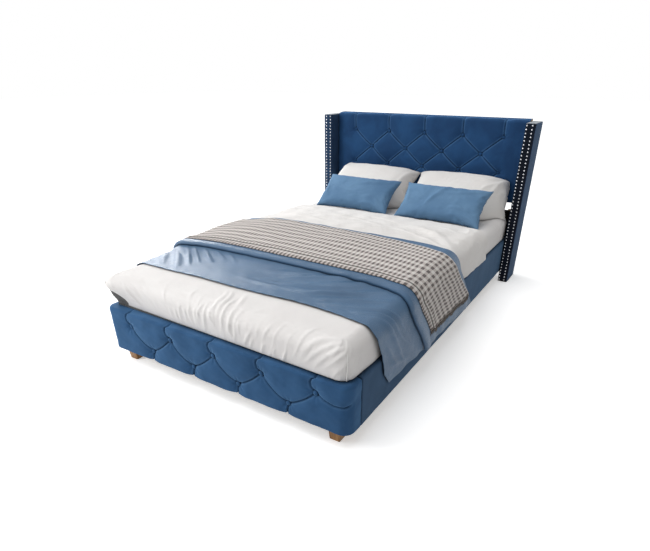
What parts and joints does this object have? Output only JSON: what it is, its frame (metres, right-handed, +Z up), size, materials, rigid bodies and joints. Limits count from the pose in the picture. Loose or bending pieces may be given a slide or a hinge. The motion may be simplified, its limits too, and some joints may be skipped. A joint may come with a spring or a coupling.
{
  "type": "upholstered wing bed",
  "caption": "Velvet bed with tufted headboard between studded wings, tufted footboard, mattress, duvet, folded coverlet, checked throw, pillows and cushions.",
  "frame": {"origin": "middle of the footprint, on the floor", "axes": "+Z up, +Y from the foot to the headboard, +X across the bed to the right when looking from the foot"},
  "size_m": [1.4, 2.14, 0.954],
  "materials": {
    "headboard_velvet": "matte",
    "footboard_velvet": "matte",
    "rail_velvet": "matte",
    "wing_velvet": "matte",
    "black_cloth": "matte",
    "board": "matte",
    "timber": "matte",
    "slat_wood": "satin",
    "foot_wood": "satin",
    "black_steel": "satin",
    "zinc_steel": "satin",
    "nickel_nail": "polished",
    "black_plastic": "matte",
    "webbing": "matte",
    "mattress_knit": "matte",
    "sheet_cotton": "matte",
    "duvet_cotton": "matte",
    "blue_coverlet": "satin",
    "check_weave": "matte",
    "throw_fringe": "matte",
    "pillow_cotton": "matte",
    "cushion_cloth": "matte"
  },
  "bodies": {
    "bed_frame": {"beam_hanger_foot": "black_steel", "beam_hanger_head": "black_steel", "beam_leg_caps": "black_plastic", "beam_legs": "black_steel", "centre_beam": "black_steel", "corner_block_left": "timber", "corner_block_right": "timber", "foot_left": "foot_wood", "foot_right": "foot_wood", "foot_studs": "zinc_steel", "footboard_board": "board", "footboard_buttons": "footboard_velvet", "footboard_pad": "footboard_velvet", "footboard_return_left": "board", "footboard_return_right": "board", "frame_bolts": "zinc_steel", "head_bracket_left": "black_steel", "head_bracket_right": "black_steel", "headboard_back_cloth": "black_cloth", "headboard_battens": "timber", "headboard_board": "board", "headboard_buttons": "headboard_velvet", "headboard_pad": "headboard_velvet", "lower_panel_board": "board", "lower_panel_cleats": "timber", "lower_panel_cloth": "black_cloth", "nailheads_left": "nickel_nail", "nailheads_right": "nickel_nail", "rail_board_left": "board", "rail_board_right": "board", "rail_cover_left": "rail_velvet", "rail_cover_right": "rail_velvet", "slat_ledge_left": "timber", "slat_ledge_right": "timber", "slat_webbing": "webbing", "slats": "slat_wood", "wing_bolts": "zinc_steel", "wing_core_left": "timber", "wing_core_right": "timber", "wing_cover_left": "wing_velvet", "wing_cover_right": "wing_velvet", "wing_glides": "black_plastic"},
    "mattress_set": {"mattress": "mattress_knit", "fitted_sheet": "sheet_cotton", "duvet": "duvet_cotton", "coverlet": "blue_coverlet", "throw": "check_weave", "throw_tassels_left": "throw_fringe", "throw_tassels_right": "throw_fringe"},
    "white_pillow_left": {"pillow_white_left": "pillow_cotton"},
    "white_pillow_right": {"pillow_white_right": "pillow_cotton"},
    "blue_cushion_left": {"cushion_blue_left": "cushion_cloth"},
    "blue_cushion_right": {"cushion_blue_right": "cushion_cloth"}
  },
  "joints": [
    {"name": "mattress_lift", "type": "slide", "parent": "bed_frame", "child": "mattress_set", "axis": [0, 0, 1], "range_m": [0, 0.3]},
    {"name": "white_pillow_left_lift", "type": "slide", "parent": "mattress_set", "child": "white_pillow_left", "axis": [0, 0, 1], "range_m": [0, 0.25]},
    {"name": "white_pillow_right_lift", "type": "slide", "parent": "mattress_set", "child": "white_pillow_right", "axis": [0, 0, 1], "range_m": [0, 0.25]},
    {"name": "blue_cushion_left_lift", "type": "slide", "parent": "white_pillow_left", "child": "blue_cushion_left", "axis": [0, 0, 1], "range_m": [0, 0.2]},
    {"name": "blue_cushion_right_lift", "type": "slide", "parent": "white_pillow_right", "child": "blue_cushion_right", "axis": [0, 0, 1], "range_m": [0, 0.2]}
  ]
}
